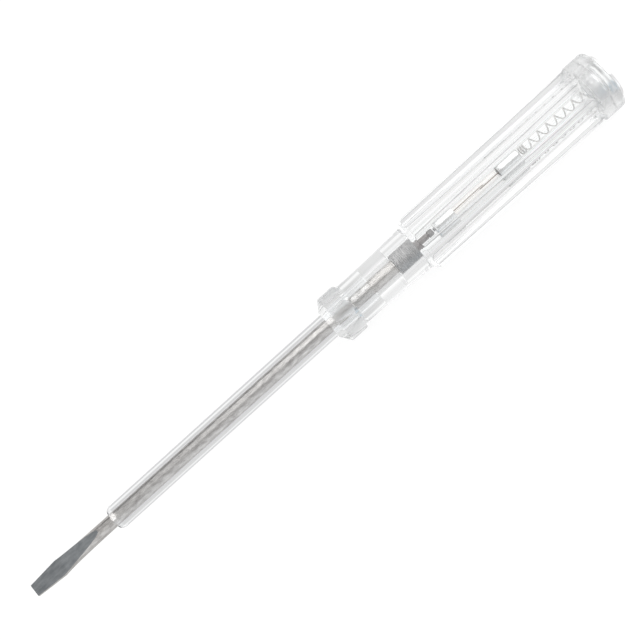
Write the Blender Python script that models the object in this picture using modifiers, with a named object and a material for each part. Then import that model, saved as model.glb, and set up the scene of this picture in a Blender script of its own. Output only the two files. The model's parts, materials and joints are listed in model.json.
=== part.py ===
"""Voltage tester screwdriver: a clear fluted handle that holds a neon lamp stack behind a flat blade.

Units are metres. The tool lies along X with the blade tip at -X and the contact plug at +X.
The origin is under the middle of its length, on the surface that the rear collar rests on.
Stations are distances from the blade tip along the tool's axis.
"""
import math

import bmesh
import bpy
from mathutils import Vector

# Gaps between pieces
seat_gap = 0.0003
fit_gap = 0.00015
cutter_overrun = 0.002
merge_distance = 0.00001

# Blade: a round steel shaft, flattened and ground to a flared tip
shaft_radius = 0.00135
blade_exposed_length = 0.0192
tip_width = 0.0025
tip_thickness = 0.0005
tip_corner = 0.00008
flare_width = 0.0035
flare_from_tip = 0.0062
flare_decay_length = 0.0034
face_knee_from_tip = 0.0070
face_knee_thickness = 0.0008
face_runout_from_tip = 0.0159
blade_turn = math.radians(-7.7)
blade_segments = 40
flare_points = 9

# Insulating sleeve: a clear tube round the shaft, rounded at its front end
sleeve_front_radius = 0.00245
sleeve_rear_radius = 0.00253
sleeve_exposed_length = 0.0528
sleeve_seat_depth = 0.0101
sleeve_nose_length = 0.0013
sleeve_nose_lip = 0.0001
sleeve_segments = 32
nose_points = 5

# Handle outside: front collar, neck, shoulder, fluted grip, rear collar
handle_segments = 56
flute_count = 7
flute_phase = math.pi / flute_count
flute_radius = 0.0071
flute_segments = 96
collar_radius = 0.00495
collar_lip_radius = 0.0029
collar_nose_length = 0.0016
collar_flat_length = 0.0032
collar_back_length = 0.0011
collar_flute_radius = 0.0017
collar_flute_segments = 48
collar_flute_front_floor = 0.0052
collar_flute_rear_floor = 0.00436
neck_front_radius = 0.0043
neck_rear_radius = 0.00468
neck_length = 0.0150
neck_points = 5
shoulder_length = 0.00115
shoulder_round_length = 0.0003
grip_front_radius = 0.00576
grip_rear_radius = 0.00593
grip_length = 0.0393
grip_flute_front_width = 0.0028
grip_flute_rear_width = 0.0040
rear_collar_radius = 0.0062
rear_collar_rise_length = 0.00115
rear_collar_length = 0.0045
rear_collar_corner = 0.00105
corner_points = 4
rise_points = 4

# Handle inside: sleeve socket, shaft hole, lamp bore, thread and plug recess
shaft_hole_length = 0.0054
lamp_bore_radius = 0.0027

# Shaft bush: a ring-grooved steel tube on the shaft's rear end
bush_radius = 0.0022
bush_length = 0.0053
bush_shaft_length = 0.0028
bush_groove_count = 15
bush_groove_depth = 0.0001
bush_segments = 28

# Resistor: a lacquered rod with a pressed cap on each end
resistor_length = 0.0061
resistor_radius = 0.00112
resistor_cap_radius = 0.00128
resistor_cap_length = 0.0011
resistor_cap_wall = 0.00018
resistor_cap_round = 0.0002
resistor_segments = 24

# Neon lamp: a glass tube with two metal caps, two rod electrodes and two solder dots
lamp_length = 0.0204
lamp_cap_radius = 0.0020
lamp_cap_wall = 0.00012
lamp_front_cap_length = 0.0046
lamp_rear_cap_length = 0.0050
lamp_cap_round = 0.0003
lamp_glass_wall = 0.00035
lamp_glass_inset = 0.0006
lamp_segments = 32
solder_radius = 0.0007
solder_height = 0.0002
solder_segments = 16
electrode_radius = 0.00022
electrode_offset = 0.00045
electrode_lead_length = 0.0022
electrode_bend_length = 0.0012
electrode_front_share = 0.42
electrode_rear_share = 0.30

# Contact spring: a compression coil between the lamp and the plug
spring_radius = 0.00162
spring_wire_radius = 0.000165
spring_close_turns = 2
spring_close_pitch = 0.00078
spring_open_turns = 8
spring_turn_points = 9

# Contact plug: a turned metal screw cap that the finger touches
plug_spigot_radius = 0.00112
plug_spigot_length = 0.0009
plug_thread_radius = 0.00295
plug_root_radius = 0.0026
plug_thread_pitch = 0.00075
plug_thread_turns = 2
plug_relief_length = 0.0005
plug_barrel_radius = 0.00363
plug_barrel_length = 0.00165
plug_barrel_round = 0.0007
plug_flange_radius = 0.00466
plug_flange_thickness = 0.0007
plug_flange_round = 0.00025
plug_slot_width = 0.0011
plug_slot_length = 0.0056
plug_slot_depth = 0.00035
plug_segments = 40

# Stations along the axis, from the blade tip
sleeve_front = blade_exposed_length
handle_front = sleeve_front + sleeve_exposed_length
collar_flat_front = handle_front + collar_nose_length
collar_flat_rear = collar_flat_front + collar_flat_length
neck_front = collar_flat_rear + collar_back_length
neck_rear = neck_front + neck_length
grip_front = neck_rear + shoulder_length + shoulder_round_length
grip_rear = grip_front + grip_length
rear_collar_front = grip_rear + rear_collar_rise_length
handle_rear = rear_collar_front + rear_collar_length
total_length = handle_rear + plug_flange_thickness

sleeve_rear = handle_front + sleeve_seat_depth
socket_rear = sleeve_rear + seat_gap
lamp_bore_front = socket_rear + shaft_hole_length
bush_front = lamp_bore_front + seat_gap
shaft_rear = bush_front + bush_shaft_length
resistor_front = shaft_rear + seat_gap
resistor_rear = resistor_front + resistor_length
lamp_front = resistor_rear + seat_gap + solder_height
lamp_rear = lamp_front + lamp_length
plug_thread_length = plug_thread_pitch * plug_thread_turns
plug_inner_length = plug_thread_length + plug_relief_length + plug_barrel_length
plug_thread_front = handle_rear - plug_inner_length
plug_spigot_front = plug_thread_front - plug_spigot_length
spring_front = lamp_rear + seat_gap
spring_rear = plug_thread_front - seat_gap

sleeve_bore_radius = shaft_radius + fit_gap
socket_radius = sleeve_rear_radius + fit_gap
shaft_hole_radius = shaft_radius + fit_gap
thread_bore_radius = plug_thread_radius + fit_gap
recess_radius = plug_barrel_radius + fit_gap
axis_height = rear_collar_radius * math.cos(math.pi / handle_segments)


def start_scene():
    """Clear the scene and make the two collections and the empty that carries the axis."""
    for old in list(bpy.data.objects):
        bpy.data.objects.remove(old, do_unlink=True)
    parts = bpy.data.collections.new("voltage_tester_screwdriver")
    cutters = bpy.data.collections.new("cutters")
    flutes = bpy.data.collections.new("flute_cutters")
    bpy.context.scene.collection.children.link(parts)
    bpy.context.scene.collection.children.link(cutters)
    cutters.children.link(flutes)
    axis = bpy.data.objects.new("tool_axis", None)
    axis.location = (-total_length / 2, 0, axis_height)
    axis.rotation_euler = (0, math.pi / 2, 0)
    parts.objects.link(axis)
    return parts, cutters, flutes, axis


parts, cutters, flutes, tool_axis = start_scene()


def finish(name, colour, roughness, metallic, transmission=0.0, ior=1.5):
    """Make a Principled material."""
    material = bpy.data.materials.new(name)
    material.use_nodes = True
    shader = material.node_tree.nodes["Principled BSDF"]
    shader.inputs["Base Color"].default_value = (*colour, 1.0)
    shader.inputs["Roughness"].default_value = roughness
    shader.inputs["Metallic"].default_value = metallic
    shader.inputs["Transmission Weight"].default_value = transmission
    shader.inputs["IOR"].default_value = ior
    return material


clear_plastic = finish("clear_plastic", (0.95, 0.96, 0.96), 0.06, 0.0, 1.0, 1.49)
sleeve_plastic = finish("sleeve_plastic", (0.90, 0.92, 0.93), 0.12, 0.0, 1.0, 1.5)
blade_steel = finish("blade_steel", (0.42, 0.43, 0.44), 0.35, 1.0)
bush_steel = finish("bush_steel", (0.16, 0.16, 0.17), 0.45, 1.0)
resistor_lacquer = finish("resistor_lacquer", (0.13, 0.09, 0.08), 0.4, 0.0)
resistor_cap_metal = finish("resistor_cap_metal", (0.30, 0.29, 0.28), 0.4, 1.0)
lamp_clear_glass = finish("lamp_clear_glass", (0.98, 0.97, 0.96), 0.02, 0.0, 1.0, 1.5)
lamp_cap_metal = finish("lamp_cap_metal", (0.80, 0.80, 0.80), 0.2, 1.0)
electrode_metal = finish("electrode_metal", (0.35, 0.24, 0.20), 0.45, 1.0)
solder = finish("solder", (0.62, 0.62, 0.63), 0.35, 1.0)
spring_steel = finish("spring_steel", (0.36, 0.36, 0.37), 0.3, 1.0)
plug_nickel = finish("plug_nickel", (0.70, 0.70, 0.70), 0.18, 1.0)


def place(obj, material, station):
    """Put a piece on the tool's axis at a station."""
    obj.parent = tool_axis
    obj.location = (0, 0, station)
    obj.data.materials.append(material)
    parts.objects.link(obj)
    return obj


def turned(name, outline, station, material, segments, hollow=False):
    """Turn an outline of (along, radius) points, front to rear on the outside, about the axis.

    A hollow outline goes on round its bore from rear to front and closes on itself.
    Half a step of turn puts a flat facet, not an edge, at the bottom.
    """
    half_step = math.pi / segments
    corners = [
        (radius * math.cos(half_step), radius * math.sin(half_step), along)
        for along, radius in reversed(outline)
    ]
    edges = [(i, i + 1) for i in range(len(corners) - 1)]
    if hollow:
        edges.append((len(corners) - 1, 0))
    mesh = bpy.data.meshes.new(name)
    mesh.from_pydata(corners, edges, [])
    obj = bpy.data.objects.new(name, mesh)
    screw = obj.modifiers.new("turn", "SCREW")
    screw.axis = "Z"
    screw.angle = 2 * math.pi
    screw.steps = segments
    screw.render_steps = segments
    screw.use_merge_vertices = True
    screw.merge_threshold = merge_distance
    screw.use_smooth_shade = True
    return place(obj, material, station)


def arc(start, end, count, bulge_first):
    """Points of a quarter ellipse between two (along, radius) points, without the first.

    bulge_first True rises steeply and then levels out, False does the reverse.
    """
    points = []
    for i in range(1, count + 1):
        angle = math.pi / 2 * i / count
        slow = 1 - math.cos(angle)
        fast = math.sin(angle)
        along_share, radius_share = (slow, fast) if bulge_first else (fast, slow)
        points.append((
            start[0] + (end[0] - start[0]) * along_share,
            start[1] + (end[1] - start[1]) * radius_share,
        ))
    return points


def hide_cutter(obj, collection):
    """Mark an object as a cutter."""
    obj.hide_render = True
    obj.display_type = "WIRE"
    collection.objects.link(obj)
    return obj


def cut(obj, name, cutter=None, collection=None):
    """Take one cutter, or all the cutters of a collection, out of a piece."""
    boolean = obj.modifiers.new(name, "BOOLEAN")
    boolean.operation = "DIFFERENCE"
    boolean.solver = "EXACT"
    if collection:
        boolean.operand_type = "COLLECTION"
        boolean.collection = collection
    else:
        boolean.object = cutter
    return obj


def solid_from_outline(name, outline, half_depth):
    """A mesh cutter from a flat outline in its own XY plane, extruded both ways along Z."""
    curve = bpy.data.curves.new(name, "CURVE")
    curve.dimensions = "2D"
    curve.fill_mode = "BOTH"
    curve.extrude = half_depth
    spline = curve.splines.new("POLY")
    spline.points.add(len(outline) - 1)
    for point, (across, up) in zip(spline.points, outline):
        point.co = (across, up, 0, 1)
    spline.use_cyclic_u = True
    flat = bpy.data.objects.new(name, curve)
    bpy.context.scene.collection.objects.link(flat)
    bpy.context.view_layer.update()
    evaluated = flat.evaluated_get(bpy.context.evaluated_depsgraph_get())
    mesh = bpy.data.meshes.new_from_object(evaluated)
    work = bmesh.new()
    work.from_mesh(mesh)
    bmesh.ops.remove_doubles(work, verts=work.verts, dist=merge_distance)
    bmesh.ops.recalc_face_normals(work, faces=work.faces)
    work.to_mesh(mesh)
    work.free()
    solid = bpy.data.objects.new(name, mesh)
    bpy.data.objects.remove(flat, do_unlink=True)
    return solid


def wire(name, route, radius, station, material, resolution=1):
    """A round wire along a list of points in the axis frame, closed at both ends."""
    curve = bpy.data.curves.new(name, "CURVE")
    curve.dimensions = "3D"
    curve.bevel_depth = radius
    curve.bevel_resolution = resolution
    curve.use_fill_caps = True
    spline = curve.splines.new("POLY")
    spline.points.add(len(route) - 1)
    for point, place_on_route in zip(spline.points, route):
        point.co = (*place_on_route, 1)
    return place(bpy.data.objects.new(name, curve), material, station)


def flare_radius(along):
    """Half the width of the flattened steel at a distance from the tip."""
    tip_radius = math.hypot(tip_width / 2, tip_thickness / 2)
    if along <= flare_from_tip:
        share = along / flare_from_tip
        return tip_radius + (flare_width / 2 - tip_radius) * share
    fade = math.exp(-(along - flare_from_tip) / flare_decay_length)
    return shaft_radius + (flare_width / 2 - shaft_radius) * fade


def build_blade():
    """Turned shaft with a swelling near the tip, then a ground face on each side."""
    outline = [(0, 0), (0, flare_radius(0) - tip_corner), (tip_corner, flare_radius(tip_corner))]
    outline.append((flare_from_tip, flare_radius(flare_from_tip)))
    for i in range(1, flare_points):
        along = flare_from_tip + (face_runout_from_tip - flare_from_tip) * i / flare_points
        outline.append((along, flare_radius(along)))
    outline.append((face_runout_from_tip + flare_decay_length, shaft_radius))
    outline.append((shaft_rear - tip_corner, shaft_radius))
    outline.append((shaft_rear, shaft_radius - tip_corner))
    outline.append((shaft_rear, 0))
    blade = turned("blade", outline, 0, blade_steel, blade_segments)
    clear_of_steel = flare_width
    slope = (shaft_radius - face_knee_thickness / 2) / (face_runout_from_tip - face_knee_from_tip)
    lead_slope = (face_knee_thickness - tip_thickness) / 2 / face_knee_from_tip
    face = [
        (-cutter_overrun, tip_thickness / 2 - lead_slope * cutter_overrun),
        (face_knee_from_tip, face_knee_thickness / 2),
        (face_runout_from_tip + cutter_overrun, shaft_radius + slope * cutter_overrun),
        (face_runout_from_tip + cutter_overrun, clear_of_steel),
        (-cutter_overrun, clear_of_steel),
    ]
    for side in (-1, 1):
        name = "upper_face_cutter" if side > 0 else "lower_face_cutter"
        outline = face if side > 0 else [(along, -up) for along, up in reversed(face)]
        cutter = solid_from_outline(name, outline, clear_of_steel)
        cutter.parent = tool_axis
        cutter.rotation_mode = "QUATERNION"
        along_tool = Vector((0, 0, 1))
        face_normal = Vector((-math.cos(blade_turn), math.sin(blade_turn), 0))
        across_face = along_tool.cross(face_normal)
        turn = (along_tool, face_normal, across_face)
        cutter.rotation_quaternion = rotation_from_axes(turn)
        hide_cutter(cutter, cutters)
        cut(blade, name, cutter)
    return blade


def rotation_from_axes(axes):
    """The rotation that takes X, Y and Z to three square unit vectors."""
    from_x, from_y, from_z = axes
    columns = bmesh_matrix(from_x, from_y, from_z)
    return columns.to_quaternion()


def bmesh_matrix(from_x, from_y, from_z):
    """A 3 by 3 matrix whose columns are the given vectors."""
    matrix = Vector((0, 0, 1)).to_track_quat("Z", "Y").to_matrix()
    for row in range(3):
        matrix[row][0] = from_x[row]
        matrix[row][1] = from_y[row]
        matrix[row][2] = from_z[row]
    return matrix


def build_sleeve():
    """Clear tube from the blade's bare end into the handle's socket."""
    nose_rear = sleeve_nose_length
    outline = [(0, sleeve_bore_radius), (0, sleeve_bore_radius + sleeve_nose_lip)]
    outline += arc((0, sleeve_bore_radius + sleeve_nose_lip), (nose_rear, sleeve_front_radius), nose_points, True)
    length = sleeve_rear - sleeve_front
    outline += [(length, sleeve_rear_radius), (length, sleeve_bore_radius)]
    return turned("insulating_sleeve", outline, sleeve_front, sleeve_plastic, sleeve_segments, hollow=True)


def neck_radius(share):
    """The neck swells slowly from its front to its rear end."""
    return neck_front_radius + (neck_rear_radius - neck_front_radius) * share ** 2


def handle_outline():
    """Outside from front to rear, then the stepped bore from rear to front."""
    outline = [(handle_front, socket_radius), (handle_front, collar_lip_radius)]
    outline += arc((handle_front, collar_lip_radius), (collar_flat_front, collar_radius), corner_points, True)
    outline.append((collar_flat_rear, collar_radius))
    for i in range(neck_points + 1):
        share = i / neck_points
        outline.append((neck_front + neck_length * share, neck_radius(share)))
    outline.append((neck_rear + shoulder_length, grip_front_radius - shoulder_round_length / 2))
    outline.append((grip_front, grip_front_radius))
    outline.append((grip_rear, grip_rear_radius))
    for i in range(1, rise_points + 1):
        share = i / rise_points
        rise = (1 - math.cos(math.pi * share)) / 2
        outline.append((
            grip_rear + rear_collar_rise_length * share,
            grip_rear_radius + (rear_collar_radius - grip_rear_radius) * rise,
        ))
    corner_front = (handle_rear - rear_collar_corner, rear_collar_radius)
    corner_rear = (handle_rear, rear_collar_radius - rear_collar_corner)
    outline.append(corner_front)
    outline += arc(corner_front, corner_rear, corner_points, False)
    recess_front = handle_rear - plug_barrel_length - seat_gap
    thread_front = plug_thread_front - seat_gap
    outline += [
        (handle_rear, recess_radius),
        (recess_front, recess_radius),
        (recess_front, thread_bore_radius),
        (thread_front, thread_bore_radius),
        (thread_front, lamp_bore_radius),
        (lamp_bore_front, lamp_bore_radius),
        (lamp_bore_front, shaft_hole_radius),
        (socket_rear, shaft_hole_radius),
        (socket_rear, socket_radius),
    ]
    return outline


def flute_offset(body_radius, width):
    """Distance of a flute cutter's axis from the tool's axis for a flute of that width."""
    half = width / 2
    return math.sqrt(body_radius ** 2 - half ** 2) + math.sqrt(flute_radius ** 2 - half ** 2)


def flute_cutter(name, angle, radius, segments, front, rear):
    """A round bar that cuts one flute, from a front to a rear (station, offset) pair."""
    outward = Vector((-math.cos(angle), math.sin(angle), 0))
    start = outward * front[1] + Vector((0, 0, front[0]))
    end = outward * rear[1] + Vector((0, 0, rear[0]))
    bpy.ops.mesh.primitive_cylinder_add(vertices=segments, radius=radius, depth=(end - start).length)
    bar = bpy.context.object
    bar.name = name
    for owner in list(bar.users_collection):
        owner.objects.unlink(bar)
    bar.parent = tool_axis
    bar.location = (start + end) / 2
    bar.rotation_mode = "QUATERNION"
    bar.rotation_quaternion = (end - start).to_track_quat("Z", "Y")
    return hide_cutter(bar, flutes)


def build_handle():
    """Turned clear handle with seven sloping scoops on the collar and seven flutes on the grip."""
    handle = turned("handle", handle_outline(), 0, clear_plastic, handle_segments, hollow=True)
    collar_front_offset = collar_flute_front_floor + collar_flute_radius
    collar_rear_offset = collar_flute_rear_floor + collar_flute_radius
    grip_front_offset = flute_offset(grip_front_radius, grip_flute_front_width)
    grip_rear_offset = flute_offset(grip_rear_radius, grip_flute_rear_width)
    for number in range(flute_count):
        angle = flute_phase + 2 * math.pi * number / flute_count
        flute_cutter(
            f"collar_flute_{number + 1}", angle, collar_flute_radius, collar_flute_segments,
            (handle_front, collar_front_offset), (neck_front, collar_rear_offset),
        )
        flute_cutter(
            f"grip_flute_{number + 1}", angle, flute_radius, flute_segments,
            (neck_rear, grip_front_offset), (grip_rear, grip_rear_offset),
        )
    cut(handle, "flutes", collection=flutes)
    return handle


def build_bush():
    """Steel tube with close ring grooves, seated on the floor of the lamp bore."""
    pitch = bush_length / (bush_groove_count + 1)
    outline = [(0, shaft_hole_radius), (0, bush_radius - bush_groove_depth)]
    for i in range(bush_groove_count):
        outline.append((pitch * (i + 1) - pitch / 2, bush_radius))
        outline.append((pitch * (i + 1), bush_radius - bush_groove_depth))
    outline.append((bush_length - pitch / 2, bush_radius))
    outline.append((bush_length, bush_radius - bush_groove_depth))
    outline.append((bush_length, shaft_hole_radius))
    return turned("shaft_bush", outline, bush_front, bush_steel, bush_segments, hollow=True)


def build_resistor():
    """Lacquered rod, stepped down at both ends, and a pressed cap over each end."""
    cap_bore = resistor_cap_radius - resistor_cap_wall
    journal = cap_bore - fit_gap
    floor = resistor_cap_wall
    rod_length = resistor_length - 2 * (floor + fit_gap)
    step = resistor_cap_length - floor
    rod = [
        (0, 0), (0, journal), (step, journal), (step, resistor_radius),
        (rod_length - step, resistor_radius), (rod_length - step, journal),
        (rod_length, journal), (rod_length, 0),
    ]
    turned("resistor_body", rod, resistor_front + floor + fit_gap, resistor_lacquer, resistor_segments)
    cap = [(0, 0), (0, resistor_cap_radius - resistor_cap_round), (resistor_cap_round, resistor_cap_radius)]
    cap += [(resistor_cap_length, resistor_cap_radius), (resistor_cap_length, cap_bore), (floor, cap_bore), (floor, 0)]
    turned("resistor_front_cap", cap, resistor_front, resistor_cap_metal, resistor_segments)
    rear = [(resistor_length - along, radius) for along, radius in reversed(cap)]
    turned("resistor_rear_cap", rear, resistor_front, resistor_cap_metal, resistor_segments)


def build_lamp():
    """Glass tube, two caps, two electrodes that pass each other, and a solder dot on each cap."""
    cap_bore = lamp_cap_radius - lamp_cap_wall
    glass_radius = cap_bore - fit_gap
    hole = electrode_radius + fit_gap
    glass_front = lamp_glass_inset
    glass_rear = lamp_length - lamp_glass_inset
    shoulder = glass_radius - hole
    glass = [(glass_front, hole)]
    glass += arc((glass_front, hole), (glass_front + shoulder / 2, glass_radius), nose_points, True)
    glass += [(glass_rear - shoulder / 2, glass_radius)]
    glass += arc((glass_rear - shoulder / 2, glass_radius), (glass_rear, hole), nose_points, False)
    inner = glass_radius - lamp_glass_wall
    glass += [
        (glass_rear - lamp_glass_wall, hole),
        (glass_rear - shoulder / 2 - lamp_glass_wall, inner),
        (glass_front + shoulder / 2 + lamp_glass_wall, inner),
        (glass_front + lamp_glass_wall, hole),
    ]
    turned("lamp_glass", glass, lamp_front, lamp_clear_glass, lamp_segments, hollow=True)

    def cap(length):
        return [
            (0, hole), (0, lamp_cap_radius - lamp_cap_round), (lamp_cap_round, lamp_cap_radius),
            (length, lamp_cap_radius), (length, cap_bore), (lamp_cap_wall, cap_bore), (lamp_cap_wall, hole),
        ]

    turned("lamp_front_cap", cap(lamp_front_cap_length), lamp_front, lamp_cap_metal, lamp_segments, hollow=True)
    rear_cap = [(lamp_length - along, radius) for along, radius in cap(lamp_rear_cap_length)]
    rear_cap.reverse()
    turned("lamp_rear_cap", rear_cap, lamp_front, lamp_cap_metal, lamp_segments, hollow=True)

    solder_seat = electrode_radius + fit_gap
    dot = [(0, 0), (0, solder_radius / 2)]
    dot += arc((0, solder_radius / 2), (solder_height - merge_distance, solder_radius), corner_points, True)
    dot += [(solder_height, solder_seat), (solder_height, 0)]
    turned("lamp_front_solder", dot, lamp_front - solder_height - fit_gap / 2, solder, solder_segments)
    rear_dot = [(solder_height - along, radius) for along, radius in reversed(dot)]
    turned("lamp_rear_solder", rear_dot, lamp_rear + fit_gap / 2, solder, solder_segments)

    for name, length, side, along_sign, end in (
        ("lamp_front_electrode", lamp_length * electrode_front_share, 1, 1, lamp_front),
        ("lamp_rear_electrode", lamp_length * electrode_rear_share, -1, -1, lamp_rear),
    ):
        steps = (
            (fit_gap, 0),
            (electrode_lead_length, 0),
            (electrode_lead_length + electrode_bend_length, electrode_offset),
            (electrode_lead_length + electrode_bend_length + length, electrode_offset),
        )
        route = [(0, side * offset, along_sign * along) for along, offset in steps]
        wire(name, route, electrode_radius, end, electrode_metal)


def spring_route():
    """A helix with close turns at the lamp end, and a short straight foot at each end."""
    foot = 2 * spring_wire_radius
    coil_radius = spring_radius - spring_wire_radius
    close_length = spring_close_turns * spring_close_pitch
    open_length = spring_rear - spring_front - 2 * foot - close_length
    turns = spring_close_turns + spring_open_turns
    count = turns * spring_turn_points
    route = [(coil_radius, 0, 0)]
    for i in range(count + 1):
        turn = i / spring_turn_points
        angle = 2 * math.pi * turn
        if turn <= spring_close_turns:
            along = spring_close_pitch * turn
        else:
            along = close_length + open_length * (turn - spring_close_turns) / spring_open_turns
        route.append((coil_radius * math.cos(angle), coil_radius * math.sin(angle), foot + along))
    last = route[-1]
    route.append((last[0], last[1], last[2] + foot))
    return route


def least_gap(route, radius):
    """The least distance between the surfaces of two turns of a wire."""
    least = math.inf
    apart = spring_turn_points // 2
    for i, here in enumerate(route):
        for there in route[i + apart:]:
            least = min(least, math.dist(here, there))
    return least - 2 * radius


def build_spring():
    """One unbroken wire between the lamp's rear cap and the plug."""
    route = spring_route()
    print(f"contact_spring least gap to itself {least_gap(route, spring_wire_radius) * 1000:.3f} mm")
    return wire("contact_spring", route, spring_wire_radius, spring_front, spring_steel)


def build_plug():
    """Turned plug: spigot, thread, relief, barrel and slotted flange, with its origin on the joint axis."""
    thread_front = plug_spigot_length
    barrel_front = thread_front + plug_thread_length + plug_relief_length
    flange_front = thread_front + plug_inner_length + fit_gap
    flange_rear = thread_front + plug_inner_length + plug_flange_thickness
    outline = [(0, 0), (0, plug_spigot_radius), (thread_front, plug_spigot_radius), (thread_front, plug_root_radius)]
    for i in range(plug_thread_turns):
        crest = thread_front + plug_thread_pitch * (i + 0.5)
        outline.append((crest, plug_thread_radius))
        outline.append((crest + plug_thread_pitch / 2, plug_root_radius))
    outline.append((barrel_front, plug_root_radius))
    outline.append((barrel_front, plug_barrel_radius - plug_barrel_round))
    outline += arc(
        (barrel_front, plug_barrel_radius - plug_barrel_round),
        (barrel_front + plug_barrel_round, plug_barrel_radius), corner_points, True,
    )
    outline.append((flange_front, plug_barrel_radius))
    outline.append((flange_front, plug_flange_radius))
    round_front = (flange_rear - plug_flange_round, plug_flange_radius)
    outline.append(round_front)
    outline += arc(round_front, (flange_rear, plug_flange_radius - plug_flange_round), corner_points, False)
    outline.append((flange_rear, 0))
    plug = turned("contact_plug", outline, plug_spigot_front, plug_nickel, plug_segments)
    half_width = plug_slot_width / 2
    half_length = plug_slot_length / 2
    corners = [
        (-half_length, -half_width), (half_length, -half_width),
        (half_length, half_width), (-half_length, half_width),
    ]
    slot = solid_from_outline("plug_slot_cutter", corners, plug_slot_depth)
    slot.parent = tool_axis
    slot.location = (0, 0, total_length)
    hide_cutter(slot, cutters)
    return cut(plug, "slot", slot)


build_blade()
build_sleeve()
build_handle()
build_bush()
build_resistor()
build_lamp()
build_spring()
build_plug()
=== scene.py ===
import functools
import json
import math

import bmesh
import bpy
from mathutils import Matrix, Vector


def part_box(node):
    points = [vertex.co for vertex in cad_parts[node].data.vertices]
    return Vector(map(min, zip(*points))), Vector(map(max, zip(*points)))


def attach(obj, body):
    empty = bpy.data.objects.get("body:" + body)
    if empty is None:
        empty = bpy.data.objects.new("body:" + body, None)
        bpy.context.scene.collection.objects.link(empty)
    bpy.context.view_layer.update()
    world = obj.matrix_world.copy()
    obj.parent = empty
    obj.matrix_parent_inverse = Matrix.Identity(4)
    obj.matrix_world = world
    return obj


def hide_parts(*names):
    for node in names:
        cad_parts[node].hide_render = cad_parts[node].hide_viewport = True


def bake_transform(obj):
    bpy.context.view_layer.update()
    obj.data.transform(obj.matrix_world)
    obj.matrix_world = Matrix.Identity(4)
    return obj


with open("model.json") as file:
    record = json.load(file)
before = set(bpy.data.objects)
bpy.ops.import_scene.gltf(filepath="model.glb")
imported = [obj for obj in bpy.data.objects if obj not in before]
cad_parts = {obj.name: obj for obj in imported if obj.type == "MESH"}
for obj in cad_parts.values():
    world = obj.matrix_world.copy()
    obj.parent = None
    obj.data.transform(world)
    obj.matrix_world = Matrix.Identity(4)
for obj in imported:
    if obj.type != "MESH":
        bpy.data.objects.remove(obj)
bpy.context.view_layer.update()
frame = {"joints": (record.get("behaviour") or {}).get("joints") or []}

scene = bpy.context.scene

# Blade
# The screwdriver's steel: a drawn round shaft, hammered out to a flared blade at the front and ground flat
# on both sides. The ground flats are dull, and their steel is painted dark as painted shade of the dim room
# they mirror; the round flanks keep the brighter drawn surface.
axis_height = frame["joints"][0]["pos_m"][2]
blade_low, blade_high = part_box("blade")
tip_x = blade_low.x
shaft_radius = 0.00135
tip_width = 0.0025
tip_thickness = 0.0005
tip_corner = 0.00006
flare_width = 0.0035
flare_from_tip = 0.0062
flare_decay = 0.0034
face_knee = 0.0070
face_knee_thickness = 0.0008
face_runout = 0.0159
face_turn = math.radians(-7.7)
least_face_angle = math.radians(3)
flat_columns = 12
flank_columns = 16
blade_step = 0.0002
noise_low = 0.3
noise_high = 0.7
line_fineness = 6.0
wear_fineness = 1.7
drawn_steel_light = (0.74, 0.72, 0.70, 1)
drawn_steel_dark = (0.48, 0.46, 0.445, 1)
# The ground flats' steel colours are painted shade: a darker copy of the steel for the dim room they mirror
shaded_ground_steel_light = (0.238, 0.249, 0.257, 1)
shaded_ground_steel_dark = (0.165, 0.176, 0.184, 1)


def about_axis(x, radius, angle):
    """A point at a radius and an angle from straight up, towards +Y, about the tool's axis."""
    return (x, radius * math.sin(angle), axis_height + radius * math.cos(angle))


def skin(name, rings, loop=False, crease_angle=math.radians(32)):
    """A closed mesh over rings of points, joined end to end or with a middle point on each end."""
    work = bmesh.new()
    rows = [[work.verts.new(point) for point in ring] for ring in rings]
    pairs = list(zip(rows, rows[1:]))
    if loop:
        pairs.append((rows[-1], rows[0]))
    for here, there in pairs:
        for i in range(len(here)):
            j = (i + 1) % len(here)
            work.faces.new((here[i], there[i], there[j], here[j]))
    if not loop:
        for row in (rows[0], rows[-1]):
            middle = work.verts.new(sum((corner.co for corner in row), Vector()) / len(row))
            for i in range(len(row)):
                work.faces.new((middle, row[i], row[(i + 1) % len(row)]))
    bmesh.ops.recalc_face_normals(work, faces=work.faces)
    mesh = bpy.data.meshes.new(name)
    work.to_mesh(mesh)
    work.free()
    mesh.shade_smooth()
    mesh.set_sharp_from_angle(angle=crease_angle)
    piece = bpy.data.objects.new(name, mesh)
    scene.collection.objects.link(piece)
    return piece


def new_group(name, kind, inputs, output):
    """An empty node group: inputs by name, each a starting number or a socket type, and one output."""
    tree = bpy.data.node_groups.new(name, kind)
    for label, value in inputs.items():
        socket_type = {float: "NodeSocketFloat", int: "NodeSocketInt"}.get(type(value), value)
        socket = tree.interface.new_socket(name=label, in_out="INPUT", socket_type=socket_type)
        if socket_type != value:
            socket.default_value = value
    tree.interface.new_socket(name=output[0], in_out="OUTPUT", socket_type=output[1])
    return tree, tree.nodes.new("NodeGroupInput").outputs, tree.nodes.new("NodeGroupOutput").inputs


def put(tree, kind, settings=None, **inputs):
    """A new node with its settings. Its inputs, by name or as at0, at1, are values or sockets to link."""
    node = tree.nodes.new(kind)
    for label, value in (settings or {}).items():
        setattr(node, label, value)
    for label, value in inputs.items():
        place = int(label[2:]) if label.startswith("at") else label.replace("_", " ")
        socket = node.inputs[place]
        if isinstance(value, bpy.types.NodeSocket):
            tree.links.new(value, socket)
        else:
            socket.default_value = value
    return node


def maths(tree, operation, *values):
    """The output of a Math node over numbers or sockets."""
    inputs = {f"at{i}": value for i, value in enumerate(values)}
    return put(tree, "ShaderNodeMath", {"operation": operation}, **inputs).outputs[0]


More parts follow.
